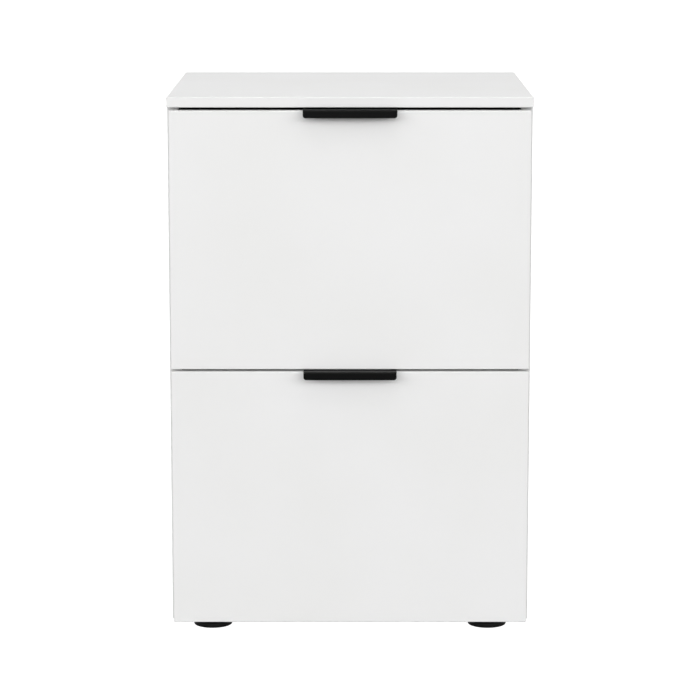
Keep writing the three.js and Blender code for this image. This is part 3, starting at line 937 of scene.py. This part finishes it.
@dataclass
class Drawer:
    """One drawer: its front, its handle, its tray and its runners, sizes in millimetres."""

    name: str
    sheet: float = 1.0
    bend: float = 1.2
    front_lip: float = 10.0
    liner_edge: float = 0.2
    handle_sheet: float = 1.5
    handle_bend: float = 2.0
    handle_corner: float = 3.5
    handle_drop: float = 10.0
    handle_steps: int = 8  # in each bend and round corner
    screw_up: float = 5.5  # from the handle's lower edge
    screw_out: float = 0.36  # from its middle, as a share of its length
    tray_hem: float = 8.0
    tray_flange: float = 12.0
    buffer_radius: float = 5.0
    buffer_height: float = 1.1
    buffer_from_side: float = 5.5
    buffer_from_end: float = 30.0
    strip_edge: float = 0.25
    balls_per_row: int = 4
    outer_ball: float = 2.0
    inner_ball: float = 1.6
    cage_sheet: float = 0.6
    cage_bend: float = 0.7
    inner_sheet: float = 1.2
    rivets_per_runner: int = 4
    rivet_inset: float = 25.0

    @property
    def body(self) -> str:
        """The CAD body that the drawer is."""
        return f"{self.name}_drawer"

    def build(self) -> None:
        """Builds every piece of the drawer."""
        self.front()
        self.handle()
        self.tray()
        self.buffers()
        for hand in Hand:
            dress_node(f"{self.name}_{hand.value}_file_rail", ZINC_STRIP, self.strip_edge)
            for member in ("outer", "middle", "inner"):
                dress_node(f"{self.name}_{hand.value}_runner_{member}", ZINC_STRIP, self.strip_edge)
            self.cage(hand, Cage.OUTER, self.outer_ball)
            self.cage(hand, Cage.INNER, self.inner_ball)
            self.runner_rivets(hand)

    def front(self) -> None:
        """Builds the hollow front: a pan that opens to the back and has a lip all round."""
        low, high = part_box(f"{self.name}_front_shell")
        lip = Vector((self.front_lip * MM,) * 3)
        rings = [ring(1, high.y, low + lip, high - lip)]
        rings += [ring(1, y, low, high) for y in (high.y, low.y)]
        sheet = FoldedSheet(f"{self.name}_front_sheet", pan_faces(rings), (0, -1, 0), self.sheet, self.bend)
        finish_piece(sheet.build(), self.body, Slot.WHITE, WHITE_COAT, f"{self.name}_front_shell")
        dress_node(f"{self.name}_front_liner", WHITE_COAT, self.liner_edge)

    def handle(self) -> None:
        """Builds the handle: a tail behind the front, a plate over its edge and a grip with round corners."""
        low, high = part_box(f"{self.name}_handle")
        drop, corner = high.z - self.handle_drop * MM, self.handle_corner * MM
        arc = fillet(high.x - corner, drop + corner, corner, -90, self.handle_steps)
        right = [(x, low.y, z) for x, z in arc]
        left = [(-x, y, z) for x, y, z in reversed(right)]
        edge = [(high.x, low.y, high.z), (low.x, low.y, high.z)]
        tail_top = [(x, high.y, high.z) for x in (high.x, low.x)]
        tail_foot = [(x, high.y, low.z) for x in (high.x, low.x)]
        flats = [[*right, *edge, *left], [*reversed(edge), *tail_top], [*reversed(tail_top), *tail_foot]]
        sheet = FoldedSheet(
            f"{self.name}_pull", flats, (0, -1, 0), self.handle_sheet, self.handle_bend, self.handle_steps
        )
        finish_piece(sheet.build(), self.body, Slot.BLACK_COAT, BLACK_COAT, f"{self.name}_handle")
        reach, z = self.screw_out * (high.x - low.x), low.z + self.screw_up * MM
        spots = [(hand.side * reach, high.y, z) for hand in Hand]
        screws = PAN_SCREW.group(f"{self.name}_handle_screws", spots, (0, 1, 0))
        finish_piece(screws, self.body, Slot.ZINC, ZINC_ROD)

    def tray(self) -> None:
        """Builds the tray: floor and sides in one sheet, with a hem and front flanges, and a back."""
        low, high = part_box(f"{self.name}_tray")
        hem, flange = self.tray_hem * MM, self.tray_flange * MM
        path = [(low.x + hem, high.z), (low.x, high.z), (low.x, low.z)]
        path += [(high.x, low.z), (high.x, high.z), (high.x - hem, high.z)]
        depth = (0, high.y - low.y, 0)
        wraps = strip_faces([(x, low.y, z) for x, z in path], depth)
        faces = [wraps[2], *wraps[:2], *wraps[3:]]
        for x, side in ((low.x, 1), (high.x, -1)):
            edge = [(x, low.y, low.z), (x, low.y, high.z)]
            inner = [(x + side * flange, low.y, high.z - hem), (x + side * flange, low.y, low.z + hem)]
            faces.append([*edge, *inner])
        sheet = FoldedSheet(f"{self.name}_tray_sheet", faces, (0, 0, -1), self.sheet, self.bend)
        finish_piece(sheet.build(), self.body, Slot.WHITE, WHITE_COAT, f"{self.name}_tray")
        low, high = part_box(f"{self.name}_tray_back")
        path = [(low.x, low.y), (low.x, high.y), (high.x, high.y), (high.x, low.y)]
        walls = strip_faces([(x, y, low.z) for x, y in path], (0, 0, high.z - low.z))
        faces = [walls[1], walls[0], walls[2]]
        back = FoldedSheet(f"{self.name}_tray_back_sheet", faces, (0, 1, 0), self.sheet, self.bend)
        finish_piece(back.build(), self.body, Slot.WHITE, WHITE_COAT, f"{self.name}_tray_back")

    def buffers(self) -> None:
        """Adds four rubber buffers behind the front, which meet the shell's front edges."""
        low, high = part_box(f"{self.name}_front_liner")
        r, h = self.buffer_radius * MM, self.buffer_height * MM
        profile = [(0, 0), (r, 0), *fillet(r - 0.5 * h, 0.5 * h, 0.5 * h, 0), (0, h)]
        x = high.x - (self.buffer_from_side + self.buffer_radius) * MM
        ends = (low.z + self.buffer_from_end * MM, high.z - self.buffer_from_end * MM)
        pads = [
            turned(f"pad_{i}", profile, towards((hand.side * x, high.y, z), (0, 1, 0)), segments=32)
            for hand in Hand
            for i, z in enumerate(ends)
        ]
        finish_piece(joined(f"{self.name}_buffers", pads), self.body, Slot.NYLON, RUBBER)

    def cage(self, hand: Hand, cage: Cage, ball: float) -> None:
        """Builds one ball cage: a thin channel and its two rows of balls.

        Args:
            hand: Which side of the drawer it is on.
            cage: Which of the runner's cages it is.
            ball: The balls' radius.
        """
        node, body = f"{self.name}_{hand.value}_{cage.value}_ball_cage", f"{self.name}_{cage.value}_cages"
        low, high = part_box(node)
        r = ball * MM
        open_x, web_x = (low.x, high.x) if hand is Hand.RIGHT else (high.x, low.x)
        half_sheet = 0.5 * self.cage_sheet * MM
        top, bottom = high.z - r + half_sheet, low.z + r - half_sheet
        path = [(open_x, top), (web_x, top), (web_x, bottom), (open_x, bottom)]
        length = high.y - low.y
        walls = strip_faces([(x, low.y, z) for x, z in path], (0, length, 0))
        faces = [walls[1], walls[0], walls[2]]
        channel = FoldedSheet(f"{node}_strip", faces, (hand.side, 0, 0), self.cage_sheet, self.cage_bend)
        finish_piece(channel.build(), body, Slot.BEARING, ZINC_STRIP, node)
        balls = bmesh.new()
        for i in range(self.balls_per_row):
            y = low.y + (i + 0.5) / self.balls_per_row * length
            for z in (high.z - r, low.z + r):
                spot = Matrix.Translation((open_x + hand.side * r, y, z))
                bmesh.ops.create_uvsphere(balls, u_segments=24, v_segments=16, radius=r, matrix=spot)
        row = object_from(f"{node}_balls", balls)
        finish_piece(row, body, Slot.BEARING, BALL_STEEL)

    def runner_rivets(self, hand: Hand) -> None:
        """Adds the rivets that hold the inner member on the tray, inside its channel.

        Args:
            hand: Which side of the drawer they are on.
        """
        name = f"{self.name}_{hand.value}_runner"
        low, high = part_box(f"{name}_inner")
        web = low.x if hand is Hand.RIGHT else high.x
        face = web + hand.side * self.inner_sheet * MM
        middle = (low.z + high.z) / 2
        inset = self.rivet_inset * MM
        points = [(face, y, middle) for y in spaced(low.y + inset, high.y - inset, self.rivets_per_runner)]
        rivets = SMALL_RIVET.group(f"{name}_rivets", points, (hand.side, 0, 0))
        finish_piece(rivets, self.body, Slot.ZINC, ZINC_ROD)


# --- levelling feet


@dataclass
class LevellingFoot:
    """A foot: a moulded base, a threaded stud with a hexagonal collar, and the nut on the shell's base.

    Sizes are in millimetres, and heights are above the floor.
    """

    name: str
    rim: float = 7.0  # height of the base's rim
    top: float = 11.5  # height of its hub
    hub: float = 10.0
    socket: float = 4.3
    socket_floor: float = 3.0
    edge: float = 1.2  # the radius that rounds the base's edges, in which its outline is drawn
    rim_break: float = 0.2
    pitch: float = 1.25
    thread_depth: float = 0.65
    thread_segments: int = 24
    thread_steps: int = 8  # rows to a pitch
    blunt_rows: int = 2  # how far into the run-out the thread's ends are cut
    stud: float = 4.0
    collar_low: float = 11.8
    collar_flats: float = 13.0
    collar_chamfer: float = 0.5
    collar_room: float = 0.3  # between the collar and the shell's base
    nut_edge: float = 0.5

    def build(self) -> None:
        """Builds the base and the stud and dresses the nut."""
        self.base()
        self.threaded_stud()
        dress_node(f"{self.name}_foot_nut", ZINC_STRIP, self.nut_edge)

    def base(self) -> None:
        """Builds the round base with its soft rim, its sloping top and its hub."""
        low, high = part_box(f"{self.name}_foot_base")
        centre, outer = (low + high) / 2, (high.x - low.x) / 2
        e, rim, hub, top = (size * MM for size in (self.edge, self.rim, self.hub, self.top))
        socket, floor = self.socket * MM, self.socket_floor * MM
        profile = [
            (0, 0),
            (outer - 3 * e, 0),
            *fillet(outer - e, e, e, -90),
            *fillet(outer - 2 * e, rim - 2 * e, 2 * e, 0),
            (outer - 6 * e, rim + 0.2 * e),
            (hub + 2 * e, rim + 0.8 * e),
            *reversed(fillet(hub + e, rim + 1.9 * e, e, 180)),
            *fillet(hub - 0.5 * e, top - 0.5 * e, 0.5 * e, 0),
            (socket, top),
            (socket, floor),
            (0, floor),
        ]
        place = Matrix.Translation((centre.x, centre.y, low.z))
        piece = turned(f"{self.name}_foot_pad", profile, place, segments=64)
        soften(piece, self.rim_break, angle=50.0)
        finish_piece(piece, f"{self.name}_foot", Slot.NYLON, NYLON, f"{self.name}_foot_base")

    def threaded_stud(self) -> None:
        """Builds the stud, whose surface is one helical ridge, and its chamfered collar."""
        low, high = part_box(f"{self.name}_foot_stud")
        centre = (low + high) / 2
        segments, steps = self.thread_segments, self.thread_steps
        step = self.pitch * MM / steps
        radius, depth = self.stud * MM, self.thread_depth * MM
        count = int((high.z - low.z) / step)
        mesh = bmesh.new()
        rows = []
        for i in range(count + 1):
            row = []
            for k in range(segments):
                wave = (i / steps - k / segments) % 1.0
                ridge = radius - depth * abs(2 * wave - 1)
                taper = min(1.0, (min(i, count - i) + self.blunt_rows) / steps)
                r = radius - depth + (ridge - radius + depth) * taper
                a = math.tau * k / segments
                x, y = centre.x + r * math.cos(a), centre.y + r * math.sin(a)
                row.append(mesh.verts.new((x, y, low.z + i * step)))
            rows.append(row)
        for one, two in zip(rows, rows[1:]):
            for k in range(segments):
                n = (k + 1) % segments
                mesh.faces.new([one[k], one[n], two[n], two[k]])
        mesh.faces.new(list(reversed(rows[0])))
        mesh.faces.new(rows[-1])
        rod = object_from(f"{self.name}_thread", mesh)
        collar = self.collar(centre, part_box("base_pan")[0].z - self.collar_room * MM)
        stud = joined(f"{self.name}_threaded_stud", [rod, collar])
        finish_piece(stud, f"{self.name}_stud", Slot.ZINC, ZINC_ROD, f"{self.name}_foot_stud")

    def collar(self, centre: Vector, top: float) -> Object:
        """Builds the collar: six flats whose corners are turned down at both ends.

        Args:
            centre: The middle of the stud.
            top: The collar's upper face, in metres above the floor.

        Returns:
            The collar.
        """
        low, flat = self.collar_low * MM, self.collar_flats * MM / 2
        corner, chamfer = self.collar_flats * MM / math.sqrt(3), self.collar_chamfer * MM
        sides = [(corner, low + chamfer), (corner, top - chamfer)]
        profile = [(0, low), (flat, low), *sides, (flat, top), (0, top)]

        def six_flats(row: int, angle: float) -> float:
            """Cuts the six flats where the collar is full width."""
            return min(1.0, self.hexagon(angle)) if profile[row] in sides else 1.0

        place = Matrix.Translation((centre.x, centre.y, 0))
        return turned(f"{self.name}_collar", profile, place, segments=48, lobes=six_flats)

    @staticmethod
    def hexagon(angle: float) -> float:
        """How far out a hexagon's edge is at an angle, as a share of its corners' radius."""
        sixth = math.pi / 3
        return math.cos(sixth / 2) / math.cos(angle % sixth - sixth / 2)


# --- studio


@dataclass
class Studio:
    """A light table inside a round tent, and a long lens a little above the cabinet. Sizes are in metres.

    The tent's wall is lit from its foot to well above the cabinet, so shadows fall short and downwards.
    Its roof and whatever lies under the table are dimmer. The table shows the cabinet on white, and adds
    no light to it.
    """

    distance: float = 3.4658  # lens to the plane of the drawer faces
    above_top: float = 0.2889
    pitch_down: float = 9.98  # degrees
    lens_mm: float = 142.53
    sensor_mm: float = 36.0
    sight: float = 60.0  # how far the lens sees
    floor_half: float = 30.0
    front_light: float = 3.7
    back_light: float = 1.7
    wall_top: tuple[float, float] = (24.0, 38.0)  # degrees up at which the wall starts and stops fading
    wall_foot: tuple[float, float] = (2.0, 10.0)
    wall_turn: tuple[float, float] = (-0.8, 0.1)  # the direction's Y at which the front fades to the back
    roof_light: float = 0.25
    under_light: float = 0.3
    key_power: float = 5.5  # watts
    key_size: float = 1.0
    key_ahead: float = 0.7  # how far in front of the drawer faces it hangs
    key_above: float = 1.5  # and above the top

    def build(self) -> None:
        """Builds the camera, the floor and the lights."""
        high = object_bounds()[1]
        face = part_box("upper_front_shell")[0].y
        data = bpy.data.cameras.new("lens")
        data.lens, data.sensor_width, data.clip_end = self.lens_mm, self.sensor_mm, self.sight
        camera = bpy.data.objects.new("camera", data)
        camera.location = (0, face - self.distance, high[2] + self.above_top)
        camera.rotation_euler = Euler((math.radians(90 - self.pitch_down), 0, 0))
        bpy.context.scene.collection.objects.link(camera)
        bpy.context.scene.camera = camera
        self.floor()
        self.lights(Vector((0, face, high[2])))

    def floor(self) -> None:
        """Builds the floor."""
        mesh = bmesh.new()
        corners = ring(2, 0.0, (-self.floor_half,) * 3, (self.floor_half,) * 3)
        mesh.faces.new([mesh.verts.new(c) for c in corners])
        floor = object_from("floor", mesh, smooth=False)
        floor.data.materials.append(OPAL.material())
        floor.visible_diffuse = floor.visible_glossy = False
        floor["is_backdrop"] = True

    def lights(self, target: Vector) -> None:
        """Builds the tent and a round softbox.

        Args:
            target: What the softbox faces, which is the middle of the cabinet's top front edge.
        """
        data = bpy.data.lights.new("key", "AREA")
        data.shape, data.size, data.energy = "DISK", self.key_size, self.key_power
        key = bpy.data.objects.new("key", data)
        key.location = target + Vector((0, -self.key_ahead, self.key_above))
        key.rotation_euler = (target - key.location).to_track_quat("-Z", "Y").to_euler()
        bpy.context.scene.collection.objects.link(key)
        self.tent()
        bpy.context.scene.view_settings.view_transform = "Standard"

    def tent(self) -> None:
        """Builds the tent's light, which depends only on the direction that it comes from."""
        world = bpy.data.worlds.new("light_tent")
        world.use_nodes = True
        tree = world.node_tree
        place = add_node(tree, "ShaderNodeTexCoord").outputs["Generated"]
        way = add_node(tree, "ShaderNodeSeparateXYZ", {0: place}).outputs
        foot, top = ([math.sin(math.radians(a)) for a in edge] for edge in (self.wall_foot, self.wall_top))
        soft = {"interpolation_type": "SMOOTHSTEP"}

        around = {"Value": way["Y"], "From Min": self.wall_turn[0], "From Max": self.wall_turn[1]}
        fade = {**around, "To Min": self.front_light, "To Max": self.back_light}
        wall = add_node(tree, RANGE, fade, **soft).outputs["Result"]

        rising = {"Value": way["Z"], "From Min": foot[0], "From Max": foot[1]}
        fade = {**rising, "To Min": self.under_light, "To Max": wall}
        lower = add_node(tree, RANGE, fade, **soft).outputs["Result"]

        closing = {"Value": way["Z"], "From Min": top[0], "From Max": top[1]}
        fade = {**closing, "To Min": lower, "To Max": self.roof_light}
        light = add_node(tree, RANGE, fade, **soft).outputs["Result"]

        set_inputs(tree, tree.nodes["Background"], {"Color": linear("#FFFFFF"), "Strength": light})
        bpy.context.scene.world = world


def main() -> None:
    """Loads the frame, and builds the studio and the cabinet."""
    logging.basicConfig(level=logging.INFO, format="%(name)s: %(message)s")
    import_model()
    Studio().build()
    Shell().build()
    for name in DRAWERS:
        Drawer(name).build()
    for name in FEET:
        LevellingFoot(name).build()


if __name__ == "__main__":
    main()
